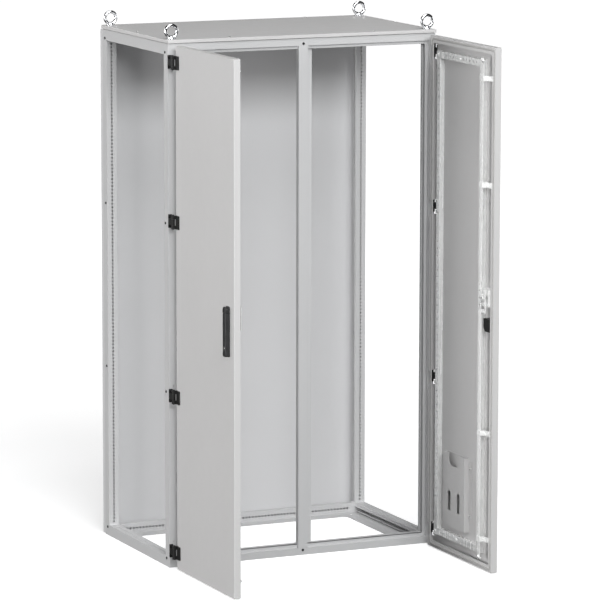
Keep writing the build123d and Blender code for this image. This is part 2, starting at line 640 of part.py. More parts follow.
def rod_guides():
    """Folded straps, each a foot on the door's rim and a sleeve that the rod slides through."""
    left = (ROD_X[0] - GUIDE_SIDE_GAP - GUIDE_SHEET, ROD_X[0] - GUIDE_SIDE_GAP)
    right = (ROD_X[1] + GUIDE_SIDE_GAP, ROD_X[1] + GUIDE_SIDE_GAP + GUIDE_SHEET)
    behind = (ROD_Y[0] - GUIDE_FACE_GAP - GUIDE_SHEET, ROD_Y[0] - GUIDE_FACE_GAP)
    above = (ROD_Y[1] + GUIDE_FACE_GAP, ROD_Y[1] + GUIDE_FACE_GAP + GUIDE_SHEET)
    guides = []
    for middle in GUIDE_HEIGHTS:
        z = (middle - GUIDE_WIDTH / 2, middle + GUIDE_WIDTH / 2)
        top = box((left[0], right[1]), above, z)
        bottom = box((left[0], right[1]), behind, z)
        side = box(left, (behind[0], above[1]), z)
        riser = box(right, (DOOR_INNER, above[1]), z)
        foot = box((right[0], DOOR_FREE - GUIDE_END), (DOOR_INNER, DOOR_INNER + GUIDE_FOOT), z)
        guides.append(join(top, bottom, side, riser, foot))
    return guides


def lock_case():
    """Folded sheet box behind the skin that carries the spindle."""
    y = (DOOR_OUTER + SHEET, LOCK_CASE_INNER)
    case = box(LOCK_CASE_X, y, LOCK_CASE_Z)
    case = fillet(case.edges().filter_by(Axis.Y), 3.0)
    inner_x = (LOCK_CASE_X[0] + 2, LOCK_CASE_X[1] - 2)
    inner_z = (LOCK_CASE_Z[0] + 2, LOCK_CASE_Z[1] - 2)
    hollow = box(inner_x, (y[0] + 2, y[1] - 2), inner_z)
    boss = rod_along("Y", (SPINDLE_X, SPINDLE_Z), 9.0, y[0], y[1])
    bore = rod_along("Y", (SPINDLE_X, SPINDLE_Z), SPINDLE_DIAMETER / 2 + 0.08, y[0] - 1, y[1] + 1)
    tools = [bore]
    for x in (LOCK_CASE_X[0] + 7, LOCK_CASE_X[1] - 7):
        for z in (LOCK_CASE_Z[0] + 7, LOCK_CASE_Z[1] - 7):
            tools.append(rod_along("Y", (x, z), 2.2, y[1] - 1.2, y[1] + 1))
    return cut(join(case - hollow, boss), tools)


def cylinder_housing():
    """Black cover behind the key cylinder, with one chamfered lower corner."""
    y = (DOOR_OUTER + SHEET, HOUSING_INNER)
    low_x, high_x = HOUSING_X
    low_z, high_z = HOUSING_Z
    across, up = HOUSING_CHAMFER
    points = [(low_x, high_z), (high_x, high_z), (high_x, low_z), (low_x + across, low_z),
              (low_x, low_z + up)]
    plane = Plane(origin=(0, y[0], 0), x_dir=(1, 0, 0), z_dir=(0, -1, 0))
    return fillet(extrude(plane * polygon(points), -(y[1] - y[0])).edges().filter_by(Axis.Y), 1.5)


# ---------------------------------------------------------------- swing handle
def handle_base():
    width = HANDLE_WIDTH + 2
    y = (DOOR_OUTER - BASE_THICKNESS, DOOR_OUTER)
    middle = (HANDLE_TOP + HANDLE_BOTTOM) / 2
    length = HANDLE_TOP - HANDLE_BOTTOM + 2
    face = RectangleRounded(width, length, 6.0)
    skin = Plane(origin=(SPINDLE_X, y[1], middle), x_dir=(1, 0, 0), z_dir=(0, -1, 0))
    plate = extrude(skin * face, BASE_THICKNESS)
    plate = fillet(plate.edges().group_by(Axis.Y)[0], 1.0)
    bore = rod_along("Y", (SPINDLE_X, SPINDLE_Z), SPINDLE_DIAMETER / 2 + 0.08, y[0] - 1, y[1] + 1)
    return cut(plate, [bore])


def spindle():
    """Shaft through the door with the handle's rounded head and the stem behind the lever."""
    shaft = rod_along("Y", (SPINDLE_X, SPINDLE_Z), SPINDLE_DIAMETER / 2, HEAD_BACK - 1, SPINDLE_END)
    half = HANDLE_WIDTH / 2
    centre = HANDLE_TOP - half
    outline = Pos(0, centre) * Circle(half)
    outline += Pos(0, (HEAD_LOW + centre) / 2) * Rectangle(HANDLE_WIDTH, centre - HEAD_LOW)
    front = Plane(origin=(SPINDLE_X, HEAD_BACK, 0), x_dir=(1, 0, 0), z_dir=(0, -1, 0))
    head = extrude(front * outline, HEAD_BACK - HANDLE_FRONT)
    head = fillet(head.edges().group_by(Axis.Y)[0], 1.5)
    head -= box((SPINDLE_X - 20, SPINDLE_X + 20), (HANDLE_FRONT - 1, 0), (HEAD_LOW - 20, HEAD_LOW))
    head -= box((SPINDLE_X - SLOT_HALF, SPINDLE_X + SLOT_HALF), (HANDLE_FRONT - 1, HEAD_BACK - 1),
                (HEAD_LOW - 1, LIFT_AXIS[1] + 7))
    stem = box((SPINDLE_X - STEM_HALF, SPINDLE_X + STEM_HALF), (HEAD_BACK - 2, HEAD_BACK),
               (STEM_LOW, HEAD_LOW + 2))
    body = join(head, stem, shaft)
    pin_bore = rod_along("X", LIFT_AXIS, 2.0, SPINDLE_X - 20, SPINDLE_X + 20)
    pin = rod_along("X", LIFT_AXIS, 2.0, SPINDLE_X - half - 0.4, SPINDLE_X + half + 0.4)
    cap_middles = (SPINDLE_X - half - 0.9, SPINDLE_X + half + 0.9)
    caps = [rod_along("X", LIFT_AXIS, 3.4, middle - 0.5, middle + 0.5) for middle in cap_middles]
    return [cut(body, [pin_bore]), join(pin, *caps)]


def lever():
    """Grip that lifts on the cross pin; its lower end holds the key cylinder."""
    half = HANDLE_WIDTH / 2
    top = HEAD_LOW - 2
    side = STEM_HALF + 0.5
    grip = box((SPINDLE_X - half, SPINDLE_X + half), (HANDLE_FRONT, LEVER_BACK), (HANDLE_BOTTOM, top))
    grip = fillet(grip.edges().filter_by(Axis.Y).group_by(Axis.Z)[0], 5.0)
    grip = fillet(grip.edges().filter_by(Axis.Z).group_by(Axis.Y)[0], 3.0)
    relief = box((SPINDLE_X - side, SPINDLE_X + side), (HEAD_BACK - 2.6, 0), (STEM_LOW - 1, top + 1))
    hollow = box((SPINDLE_X - half + 3, SPINDLE_X + half - 3), (LEVER_BACK - 5.5, 0), (855, STEM_LOW - 6))
    tongue_half = SLOT_HALF - 0.4
    tongue = box((SPINDLE_X - tongue_half, SPINDLE_X + tongue_half),
                 (HANDLE_FRONT + 0.6, HEAD_BACK - 3), (top - 4, LIFT_AXIS[1]))
    eye = rod_along("X", LIFT_AXIS, 4.2, SPINDLE_X - tongue_half, SPINDLE_X + tongue_half)
    body = join(grip - relief - hollow, tongue, eye)
    bores = [rod_along("X", LIFT_AXIS, 2.08, SPINDLE_X - 20, SPINDLE_X + 20),
             rod_along("Y", (SPINDLE_X, KEY_Z), KEY_DIAMETER / 2 + 0.08, HANDLE_FRONT - 1, LEVER_BACK + 1)]
    return cut(body, bores)


def key_insert():
    """Key cylinder's rotor, flush in the lever, with its keyway."""
    rotor = rod_along("Y", (SPINDLE_X, KEY_Z), KEY_DIAMETER / 2, HANDLE_FRONT - 0.8, LEVER_BACK)
    rotor = fillet(rotor.edges().sort_by(Axis.Y)[0], 0.6)
    keyway = box((SPINDLE_X - 0.9, SPINDLE_X + 0.9), (HANDLE_FRONT - 2, HANDLE_FRONT + 4),
                 (KEY_Z - 3.6, KEY_Z + 3.6))
    return cut(rotor, [keyway])


# ---------------------------------------------------------------- document pocket
def pocket_tray():
    """Sheet pocket on the door's skin, open at the top, with a hand notch and two round-topped slots."""
    outer = box(POCKET_X, POCKET_Y, POCKET_Z)
    inside = box((POCKET_X[0] + SHEET, POCKET_X[1] - SHEET), (POCKET_Y[0] + SHEET, POCKET_Y[1] - SHEET),
                 (POCKET_Z[0] + SHEET, POCKET_Z[1] + 1))
    middle = (POCKET_X[0] + POCKET_X[1]) / 2
    front = (POCKET_Y[1] - 3, POCKET_Y[1] + 1)
    notch_width, notch_depth = POCKET_NOTCH
    notch_points = [(-notch_width / 2, 2), (-notch_width / 2, -notch_depth + 14),
                    (-notch_width / 2 + 14, -notch_depth), (notch_width / 2 - 14, -notch_depth),
                    (notch_width / 2, -notch_depth + 14), (notch_width / 2, 2)]
    plane = Plane(origin=(middle, front[0], POCKET_Z[1]), x_dir=(1, 0, 0), z_dir=(0, -1, 0))
    tools = [extrude(plane * polygon(notch_points), -(front[1] - front[0]))]
    slot_width, slot_height, slot_low = POCKET_SLOT
    arch = slot_low + slot_height - slot_width / 2
    for side in (-1, 1):
        x = middle + side * POCKET_SLOT_PITCH / 2
        tools.append(box((x - slot_width / 2, x + slot_width / 2), front, (slot_low, arch)))
        tools.append(rod_along("Y", (x, arch), slot_width / 2, *front))
    return cut(outer - inside, tools)


def pocket_parts():
    """The pocket with its two ears, which are screwed to the door's skin between the uprights."""
    face = POCKET_Y[0] + SHEET
    ears = []
    screws = []
    holes = []
    for edge, outward in ((POCKET_X[0], -1), (POCKET_X[1], 1)):
        span = sorted((edge - outward, edge + outward * POCKET_EAR))
        ears.append(box(span, (POCKET_Y[0], face), (POCKET_Z[0] + 40, POCKET_Z[1] - 8)))
        x = edge + outward * POCKET_EAR / 2
        for z in POCKET_SCREW_HEIGHTS:
            screws.append(dome_screw((x, face, z), (0, 1, 0), head=9.0, shank=4.0, length=SHEET))
            holes.append(rod_along("Y", (x, z), 2.1, POCKET_Y[0] - 1, face + 1))
    return cut(join(pocket_tray(), *ears), holes), screws


# ---------------------------------------------------------------- assembly
def place_door(shape, right):
    """From the closed left-hand drawing to the open door on either side."""
    hinge_x, hinge_y = HINGE_AXIS
    turned = Pos(hinge_x, hinge_y, 0) * Rot(0, 0, -DOOR_OPEN_ANGLE) * Pos(-hinge_x, -hinge_y, 0) * shape
    return to_corner(turned, right, False)


def save(name, shapes):
    items = shapes if isinstance(shapes, (list, tuple, ShapeList)) else [shapes]
    solids = [solid for item in items for solid in item.solids()]
    export_step(Compound(children=solids) if len(solids) > 1 else solids[0], f"parts/{name}.step")


def build_frame():
    rear_post = corner_post()
    front_post = add_hinge_holes(rear_post)
    for depth, post, rear in (("front", front_post, 0), ("rear", rear_post, 1)):
        for side, right in (("left", 0), ("right", 1)):
            save(f"post_{depth}_{side}", to_corner(post, right, rear))
    long_rail = front_rail()
    short_rail = side_rail()
    rails = (("front", long_rail, 0, 0), ("rear", long_rail, 0, 1),
             ("left", short_rail, 0, 0), ("right", short_rail, 1, 0))
    for name, rail, right, rear in rails:
        placed = to_corner(rail, right, rear)
        save("base_rail_" + name, placed)
        save("top_rail_" + name, to_top(placed))
    save("floor_ring", floor_ring())
    save("centre_mullion", centre_mullion())
    frame_screws = [dome_screw((0, -HALF_DEPTH, z), (0, -1, 0), height=MULLION_SCREW_HEAD)
                    for z in (MULLION_SCREW_HEIGHT, HEIGHT - MULLION_SCREW_HEIGHT)]
    for right in (0, 1):
        for rear in (0, 1):
            for z in SIDE_SCREW_HEIGHTS:
                screw = dome_screw((0, SIDE_SCREW_INSET, z), (-1, 0, 0))
                frame_screws.append(to_corner(screw, right, rear))
    save("frame_screws", frame_screws)
    panel, rear_gasket, rear_screws = rear_parts()
    roof, roof_gasket, roof_screws, eyebolts = roof_parts()
    save("rear_panel", panel)
    save("rear_panel_gasket", rear_gasket)
    save("roof_panel", roof)
    save("roof_gasket", roof_gasket)
    save("cover_screws", rear_screws + roof_screws)
    save("lifting_eyebolts", eyebolts)


def build_hinges():
    leaves, pins, screws = [], [], []
    for right in (0, 1):
        for z in HINGE_HEIGHTS:
            leaves.append(to_corner(frame_hinge_leaf(z), right, 0))
            pins.append(to_corner(hinge_pin(z), right, 0))
            screws += [to_corner(screw, right, 0) for screw in hinge_screws(z)]
    save("frame_hinge_leaves", leaves)
    save("hinge_pins", pins)
    save("hinge_screws", screws)


def build_doors():
    parts = {
        "door_panel": [door_panel()],
        "door_gasket": [door_gasket()],
        "stiffener_tubes": stiffener_frame(),
        "stiffener_corners": stiffener_corners(),
        "door_hinge_leaves": [door_hinge_leaf(z) for z in HINGE_HEIGHTS],
        "lock_case": [lock_case()],
        "cylinder_housing": [cylinder_housing()],
        "rod_guides": rod_guides(),
        "handle_base": [handle_base()],
        "handle_spindle": spindle(),
        "lock_pinion": [pinion()],
        "handle_lever": [lever()],
        "key_insert": [key_insert()],
        "upper_rod": [rod_upper()],
        "lower_rod": [rod_lower()],
        "upper_roller": [roller(ROLLER_Z_HIGH)],
        "lower_roller": [roller(ROLLER_Z_LOW)],
    }
    for side, right in (("left", 0), ("right", 1)):
        for name, shapes in parts.items():
            save(f"{side}_{name}", [place_door(shape, right) for shape in shapes])
    pocket, pocket_screws = pocket_parts()
    save("document_pocket", place_door(pocket, 1))
    save("document_pocket_screws", [place_door(screw, 1) for screw in pocket_screws])


os.makedirs("parts", exist_ok=True)
build_frame()
build_hinges()
build_doors()
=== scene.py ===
import json
import math

import bmesh
import bpy
from mathutils import Matrix, Vector, noise


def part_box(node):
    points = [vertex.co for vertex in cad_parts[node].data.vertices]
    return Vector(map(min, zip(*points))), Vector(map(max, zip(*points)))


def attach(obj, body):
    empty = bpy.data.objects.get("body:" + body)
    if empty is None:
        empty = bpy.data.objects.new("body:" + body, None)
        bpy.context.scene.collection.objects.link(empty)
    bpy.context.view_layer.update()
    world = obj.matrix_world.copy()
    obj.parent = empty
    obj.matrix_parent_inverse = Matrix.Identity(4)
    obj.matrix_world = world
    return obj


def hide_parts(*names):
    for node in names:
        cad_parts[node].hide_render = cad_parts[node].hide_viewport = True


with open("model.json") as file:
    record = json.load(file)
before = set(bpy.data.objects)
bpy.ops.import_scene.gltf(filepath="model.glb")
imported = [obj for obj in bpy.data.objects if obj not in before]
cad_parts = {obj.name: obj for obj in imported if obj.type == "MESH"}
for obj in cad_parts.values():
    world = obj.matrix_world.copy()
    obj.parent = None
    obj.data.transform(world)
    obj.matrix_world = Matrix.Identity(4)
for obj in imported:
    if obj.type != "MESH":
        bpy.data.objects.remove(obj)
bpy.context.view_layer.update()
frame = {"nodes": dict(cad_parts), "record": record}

# The looks of a two-door switchboard cabinet, in metres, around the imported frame.  Its parts keep
# their own shapes and get procedural finishes, except the foam gaskets and the lifting eyes: these
# are replaced by detailed meshes, and the frame's weld beads are added.

MM = 0.001

# ---------------------------------------------------------------- camera and light
CAMERA_PLACE = (-5.7142, -12.9900, 3.1249)
CAMERA_AZIMUTH = 24.197
CAMERA_ELEVATION = -9.093
CAMERA_ROLL = 0.079
CAMERA_LENS = 245.67
SENSOR_WIDTH = 36.0

FLOOR_RADIUS = 90.0
FLOOR_COLOUR = (0.86, 0.86, 0.865)
NEAR_GLOW = 0.45
FAR_GLOW = 1.0
GLOW_RADII = (2.0, 7.0)
SKY = 0.02
BOUNCE = 0.095
BACKDROP = 1.0

# name: (position, aim, width, height, power, colour)
LIGHTS = {
    "front_softbox": ((-1.0, -9.0, 5.0), (0.0, 0.0, 0.9), 7.0, 2.4, 755.0, (0.99, 1.0, 1.0)),
    "front_top_softbox": ((0.0, -5.0, 8.0), (0.0, -0.3, 0.9), 5.0, 4.0, 220.0, (1.0, 1.0, 1.0)),
    "top_softbox": ((0.0, -1.0, 8.0), (0.0, 0.0, 0.9), 6.0, 6.0, 165.0, (1.0, 1.0, 1.0)),
    "front_low_softbox": ((-3.5, -6.0, 0.4), (0.3, -0.5, 0.2), 4.0, 0.8, 42.0, (0.99, 1.0, 1.0)),
    "left_softbox": ((-9.0, -3.0, 1.4), (0.0, -0.3, 0.8), 3.0, 4.0, 560.0, (1.0, 0.995, 0.99)),
    "rear_left_softbox": ((-7.0, 6.0, 3.0), (0.0, 0.0, 0.9), 4.0, 4.0, 255.0, (1.0, 1.0, 1.0)),
    "right_softbox": ((9.0, -1.0, 2.4), (0.0, -0.3, 0.9), 4.0, 4.0, 213.0, (1.0, 1.0, 1.0)),
}


# ---------------------------------------------------------------- colours
FRAME_GREY = (0.535, 0.536, 0.542)
DOOR_GREY = (0.565, 0.560, 0.560)
REAR_GREY = (0.620, 0.620, 0.630)
ZINC = (0.90, 0.905, 0.90)
SCREW_ZINC = (0.68, 0.68, 0.67)
TURNED_STEEL = (0.74, 0.74, 0.74)
LOCK_BLACK = (0.006, 0.006, 0.006)

# ---------------------------------------------------------------- sizes of the detailed pieces
GASKET_BAND = 9.0 * MM
GASKET_CORNER = 11.0 * MM
GASKET_STEP = 7.0 * MM
GASKET_POINTS = 9
GASKET_FULLNESS = 0.96
GASKET_WIDTH_WOBBLE = 0.035
GASKET_RISE = 0.95
GASKET_RISE_WOBBLE = 0.045
GASKET_SHOULDER_DROP = 0.70
GASKET_SHOULDER_POWER = 2.4
CORNER_TURN_STEP = 15
EYE_CENTRE = 27.0 * MM
EYE_RADIUS = 20.5 * MM
EYE_SECTION = 5.5 * MM
EYE_COLLAR = 30.0 * MM
EYE_RING_STEPS = 72
EYE_SECTION_STEPS = 20
EYE_FOOT_SWELL = 0.22
EYE_VOXEL = 0.7 * MM
EYE_SMOOTH_ROUNDS = 8
# radius of the near-black disc of painted shade at the centre of each lock hub
LOCK_SHADE_RADIUS = 4.0 * MM
WELD_LEG = 2.6 * MM
WELD_ROOT = 0.3 * MM
WELD_RIPPLE = 1.9 * MM
WELD_STEP = 0.32 * MM
WELD_INSET = 3.0 * MM
WELD_ARC_STEPS = 6
WELD_END_STEPS = 6
WELD_END_SHARE = 0.35


# ---------------------------------------------------------------- node helpers
class Finish:
    """A Principled material with short calls for the nodes that its textures need."""

    def __init__(self, name):
        self.material = bpy.data.materials.new(name)
        self.material.use_nodes = True
        self.tree = self.material.node_tree
        self.shader = self.tree.nodes["Principled BSDF"]
        self.place = self.add("ShaderNodeTexCoord").outputs["Object"]

    def add(self, kind, **settings):
        node = self.tree.nodes.new(kind)
        for key, value in settings.items():
            setattr(node, key, value)
        return node

    def link(self, source, target):
        self.tree.links.new(source, target)

    def set(self, **values):
        for key, value in values.items():
            self.shader.inputs[key.replace("_", " ")].default_value = value

    def stretched(self, scale):
        """Object coordinates scaled by three factors, for a grain that runs one way."""
        mapping = self.add("ShaderNodeMapping")
        mapping.inputs["Scale"].default_value = scale
        self.link(self.place, mapping.inputs["Vector"])
        return mapping.outputs["Vector"]

    def noise(self, scale, detail=2.0, roughness=0.5, vector=None):
        node = self.add("ShaderNodeTexNoise")
        node.inputs["Scale"].default_value = scale
        node.inputs["Detail"].default_value = detail
        node.inputs["Roughness"].default_value = roughness
        self.link(vector or self.place, node.inputs["Vector"])
        return node.outputs["Fac"]

    def cells(self, scale, feature="F1", output="Distance"):
        node = self.add("ShaderNodeTexVoronoi", feature=feature)
        node.inputs["Scale"].default_value = scale
        self.link(self.place, node.inputs["Vector"])
        return node.outputs[output]

    def span(self, value, low, high, from_low=0.3, from_high=0.7):
        """Spread a texture's middle range over low to high."""
        node = self.add("ShaderNodeMapRange")
        node.inputs["From Min"].default_value = from_low
        node.inputs["From Max"].default_value = from_high
        node.inputs["To Min"].default_value = low
        node.inputs["To Max"].default_value = high
        self.link(value, node.inputs["Value"])
        return node.outputs["Result"]

    def blend(self, share, first, second):
        """Mix two colours, each a tuple or a socket, by a share from 0 to 1."""
        node = self.add("ShaderNodeMix", data_type="RGBA")
        self.link(share, node.inputs["Factor"])
        for name, colour in (("A", first), ("B", second)):
            socket = [s for s in node.inputs if s.name == name and s.type == "RGBA"][0]
            if isinstance(colour, tuple):
                socket.default_value = (*colour, 1.0)
            else:
                self.link(colour, socket)
        return [s for s in node.outputs if s.type == "RGBA"][0]

    def colour(self, socket):
        self.link(socket, self.shader.inputs["Base Color"])

    def roughness(self, socket):
        self.link(socket, self.shader.inputs["Roughness"])

    def relief(self, heights, edge=None):
        """Bump from (height socket, strength, depth in metres) entries over softened edges."""
        normal = None
        if edge:
            rounded = self.add("ShaderNodeBevel", samples=4)
            rounded.inputs["Radius"].default_value = edge
            normal = rounded.outputs["Normal"]
        for height, strength, depth in heights:
            bump = self.add("ShaderNodeBump")
            bump.inputs["Strength"].default_value = strength
            bump.inputs["Distance"].default_value = depth
            self.link(height, bump.inputs["Height"])
            if normal:
                self.link(normal, bump.inputs["Normal"])
            normal = bump.outputs["Normal"]
        self.link(normal, self.shader.inputs["Normal"])


def shade(colour, factor):
    return tuple(min(1.0, c * factor) for c in colour)


# ---------------------------------------------------------------- finishes
def powder_coat(name, colour, gloss=0.42, edge=0.7 * MM):
    """Light textured powder coat: faint cloudiness, fine orange peel and softened sheet edges."""
    f = Finish(name)
    cloud = f.span(f.noise(3.2, detail=3.0), 0.0, 1.0)
    speck = f.span(f.noise(260.0, detail=2.0), 0.0, 1.0)
    tone = f.blend(cloud, shade(colour, 0.985), shade(colour, 1.012))
    f.colour(f.blend(f.span(speck, 0.0, 0.30, 0.0, 1.0), tone, shade(colour, 0.965)))
    f.roughness(f.span(f.noise(34.0, detail=4.0), gloss - 0.035, gloss + 0.05))
    f.set(Specular_IOR_Level=0.42)
    peel = f.noise(620.0, detail=2.5, roughness=0.55)
    f.relief([(f.noise(55.0, detail=1.0), 0.10, 0.05 * MM), (peel, 0.32, 0.06 * MM)], edge)
    return f.material


def zinc_plate(name, colour, grain=(1.0, 1.0, 1.0), metal=0.92):
    """Bright zinc plating: soft spangle, streaks along the sheet and fine scratches."""
    f = Finish(name)
    spangle = f.cells(85.0, output="Color")
    grey = f.add("ShaderNodeRGBToBW")
    f.link(spangle, grey.inputs["Color"])
    patches = f.span(grey.outputs["Val"], 0.0, 1.0, 0.2, 0.8)
    streaks = f.span(f.noise(90.0, detail=4.0, roughness=0.6, vector=f.stretched(grain)), 0.0, 1.0)
    tone = f.blend(patches, shade(colour, 0.96), shade(colour, 1.04))
    f.colour(f.blend(f.span(streaks, 0.0, 0.25, 0.0, 1.0), tone, shade(colour, 0.88)))
    f.roughness(f.span(streaks, 0.20, 0.32, 0.0, 1.0))
    f.set(Metallic=metal)
    scratches = f.noise(420.0, detail=2.0, vector=f.stretched(grain))
    f.relief([(patches, 0.05, 0.04 * MM), (scratches, 0.12, 0.03 * MM)], 0.35 * MM)
    return f.material


def lock_hub(name, centre_y, centre_z, shade_radius):
    """Zinc-plated gear and hub with a small near-black disc of painted shade at its centre, told apart by
    distance from the axis.
    """
    f = Finish(name)
    parts = f.add("ShaderNodeSeparateXYZ")
    f.link(f.place, parts.inputs["Vector"])
    squares = []
    for output, centre in (("Y", centre_y), ("Z", centre_z)):
        offset = f.add("ShaderNodeMath", operation="SUBTRACT")
        f.link(parts.outputs[output], offset.inputs[0])
        offset.inputs[1].default_value = centre
        square = f.add("ShaderNodeMath", operation="POWER")
        f.link(offset.outputs["Value"], square.inputs[0])
        square.inputs[1].default_value = 2.0
        squares.append(square.outputs["Value"])
    total = f.add("ShaderNodeMath", operation="ADD")
    f.link(squares[0], total.inputs[0])
    f.link(squares[1], total.inputs[1])
    outside = f.span(total.outputs["Value"], 0.0, 1.0, shade_radius ** 2, (shade_radius + 0.2 * MM) ** 2)
    streaks = f.span(f.noise(240.0, detail=4.0), 0.0, 1.0)
    steel = f.blend(streaks, (0.86, 0.865, 0.86), (0.74, 0.745, 0.74))
    # painted shade: a near-black disc at the hub's centre stands in for the shadow in its bore
    painted_bore_shade = f.blend(streaks, (0.014, 0.014, 0.015), (0.024, 0.024, 0.025))
    f.colour(f.blend(outside, painted_bore_shade, steel))
    f.roughness(f.span(streaks, 0.26, 0.40, 0.0, 1.0))
    f.link(f.span(outside, 0.0, 0.55, 0.0, 1.0), f.shader.inputs["Metallic"])
    f.relief([(streaks, 0.15, 0.04 * MM)], 0.3 * MM)
    return f.material


def chrome_plate(name):
    """Polished chrome over a forging: near-mirror gloss with a faint wave and a few dull patches."""
    f = Finish(name)
    dull = f.span(f.noise(70.0, detail=4.0), 0.0, 1.0, 0.45, 0.75)
    f.colour(f.blend(dull, (0.80, 0.81, 0.83), (0.70, 0.71, 0.73)))
    f.roughness(f.span(dull, 0.05, 0.13, 0.0, 1.0))
    f.set(Metallic=1.0)
    f.relief([(f.noise(45.0, detail=2.0), 0.10, 0.25 * MM)])
    return f.material


def moulded_black(name, colour=(0.016, 0.016, 0.017), gloss=0.40, grain=900.0, sheen=0.45):
    """Black moulded plastic with a fine spark-eroded grain."""
    f = Finish(name)
    haze = f.span(f.noise(60.0, detail=3.0), 0.0, 1.0)
    f.colour(f.blend(haze, shade(colour, 0.8), shade(colour, 1.5)))
    f.roughness(f.span(haze, gloss - 0.05, gloss + 0.07, 0.0, 1.0))
    f.set(Specular_IOR_Level=sheen)
    f.relief([(f.cells(grain), 0.25, 0.05 * MM)], 0.5 * MM)
    return f.material


def black_casting(name):
    """Black-coated zinc die casting: slightly rough skin with soft edges."""
    f = Finish(name)
    haze = f.span(f.noise(110.0, detail=4.0), 0.0, 1.0)
    f.colour(f.blend(haze, (0.008, 0.008, 0.008), (0.018, 0.018, 0.018)))
    f.roughness(f.span(haze, 0.36, 0.52, 0.0, 1.0))
    f.set(Specular_IOR_Level=0.25)
    f.relief([(f.noise(480.0, detail=3.0), 0.30, 0.07 * MM)], 0.6 * MM)
    return f.material


def blackened_steel(name):
    """Blackened screw steel with worn, brighter high spots."""
    f = Finish(name)
    worn = f.span(f.noise(520.0, detail=3.0), 0.0, 1.0, 0.55, 0.75)
    f.colour(f.blend(worn, (0.022, 0.022, 0.024), (0.09, 0.088, 0.085)))
    f.roughness(f.span(worn, 0.42, 0.30, 0.0, 1.0))
    f.set(Metallic=0.55)
    f.relief([(f.noise(900.0, detail=2.0), 0.15, 0.02 * MM)], 0.25 * MM)
    return f.material


def foam_gasket(name):
    """Foamed polyurethane bead: light grey, open-pored with painted shade darkening the pores, and slightly
    uneven in colour.
    """
    f = Finish(name)
    pores = f.cells(1500.0)
    cloud = f.span(f.noise(160.0, detail=4.0), 0.0, 1.0)
    tone = f.blend(cloud, (0.37, 0.366, 0.36), (0.43, 0.426, 0.42))
    # painted shade: the colour darkens towards each pore's centre, for the shade inside the pores
    f.colour(f.blend(f.span(pores, 0.45, 0.0, 0.0, 0.25), tone, (0.24, 0.236, 0.23)))
    f.roughness(f.span(cloud, 0.80, 0.92, 0.0, 1.0))
    f.relief([(pores, 0.35, 0.12 * MM), (f.noise(300.0, detail=3.0), 0.25, 0.15 * MM)])
    return f.material


def make_finishes():
    """One material for each slot of the record."""
    return {
        "frame_paint": powder_coat("frame_paint", FRAME_GREY),
        "door_paint": powder_coat("door_paint", DOOR_GREY),
        "roof_paint": powder_coat("roof_paint", DOOR_GREY, gloss=0.46),
        "rear_panel_paint": powder_coat("rear_panel_paint", REAR_GREY, gloss=0.45),
        "pocket_paint": powder_coat("pocket_paint", shade(DOOR_GREY, 0.98), gloss=0.44),
        "zinc_steel": zinc_plate("zinc_steel", ZINC, grain=(1.0, 1.0, 0.04), metal=0.35),
        "zinc_screws": zinc_plate("zinc_screws", SCREW_ZINC),
        "roller_steel": zinc_plate("roller_steel", TURNED_STEEL, grain=(8.0, 1.0, 1.0)),
        "chrome": chrome_plate("chrome"),
        "hinge_black": black_casting("hinge_black"),
        "handle_black": moulded_black("handle_black"),
        "lock_black": moulded_black("lock_black", LOCK_BLACK, gloss=0.48, grain=700.0, sheen=0.15),
        "black_screws": blackened_steel("black_screws"),
        "gasket_foam": foam_gasket("gasket_foam"),
    }


def finish_frame(finishes):
    """Give every CAD node the finish of its record slot."""
    for part in frame["record"]["subparts"]:
        node = frame["nodes"][part["node"]]
        for slot in node.material_slots:
            slot.material = finishes[part["material_slot"]]
    for side in ("left", "right"):
        node = frame["nodes"][f"{side}_lock_pinion"]
        low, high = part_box(f"{side}_lock_pinion")
        hub = lock_hub(f"{side}_lock_hub", (low[1] + high[1]) / 2, (low[2] + high[2]) / 2, LOCK_SHADE_RADIUS)
        for slot in node.material_slots:
            slot.material = hub


# ---------------------------------------------------------------- detailed pieces
def face_outwards(mesh):
    """Turn every face of a closed mesh to the outside."""
    bm = bmesh.new()
    bm.from_mesh(mesh)
    bmesh.ops.recalc_face_normals(bm, faces=bm.faces)
    bm.to_mesh(mesh)
    bm.free()


def piece(name, vertices, faces, body, finish):
    """A smooth mesh object that rides on a body and takes its finish from a slot of the record."""
    mesh = bpy.data.meshes.new(name)
    mesh.from_pydata(vertices, [], faces)
    mesh.validate()
    face_outwards(mesh)
    mesh.materials.append(finish)
    mesh.polygons.foreach_set("use_smooth", [True] * len(mesh.polygons))
    made = bpy.data.objects.new(name, mesh)
    bpy.context.scene.collection.objects.link(made)
    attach(made, body)
    return made


def loft(sections, closed=False):
    """Vertices and faces that join equal rings of points; the ends are capped unless closed."""
    size = len(sections[0])
    vertices = [point for section in sections for point in section]
    faces = []
    count = len(sections)
    for i in range(count if closed else count - 1):
        here = i * size
        there = ((i + 1) % count) * size
        for j in range(size):
            k = (j + 1) % size
            faces.append((here + j, here + k, there + k, there + j))
    if not closed:
        faces.append(tuple(range(size))[::-1])
        faces.append(tuple((count - 1) * size + j for j in range(size)))
    return vertices, faces


def combined(parts):
    """Vertices and faces of several (vertices, faces) parts as one."""
    vertices = []
    faces = []
    for part_vertices, part_faces in parts:
        first = len(vertices)
        vertices += part_vertices
        faces += [tuple(first + i for i in face) for face in part_faces]
    return vertices, faces


def wobble(position, seed, scale):
    """Smooth repeatable unevenness between about -1 and 1."""
    return noise.noise(Vector(position) * scale + Vector((seed, 0.0, 0.0)))


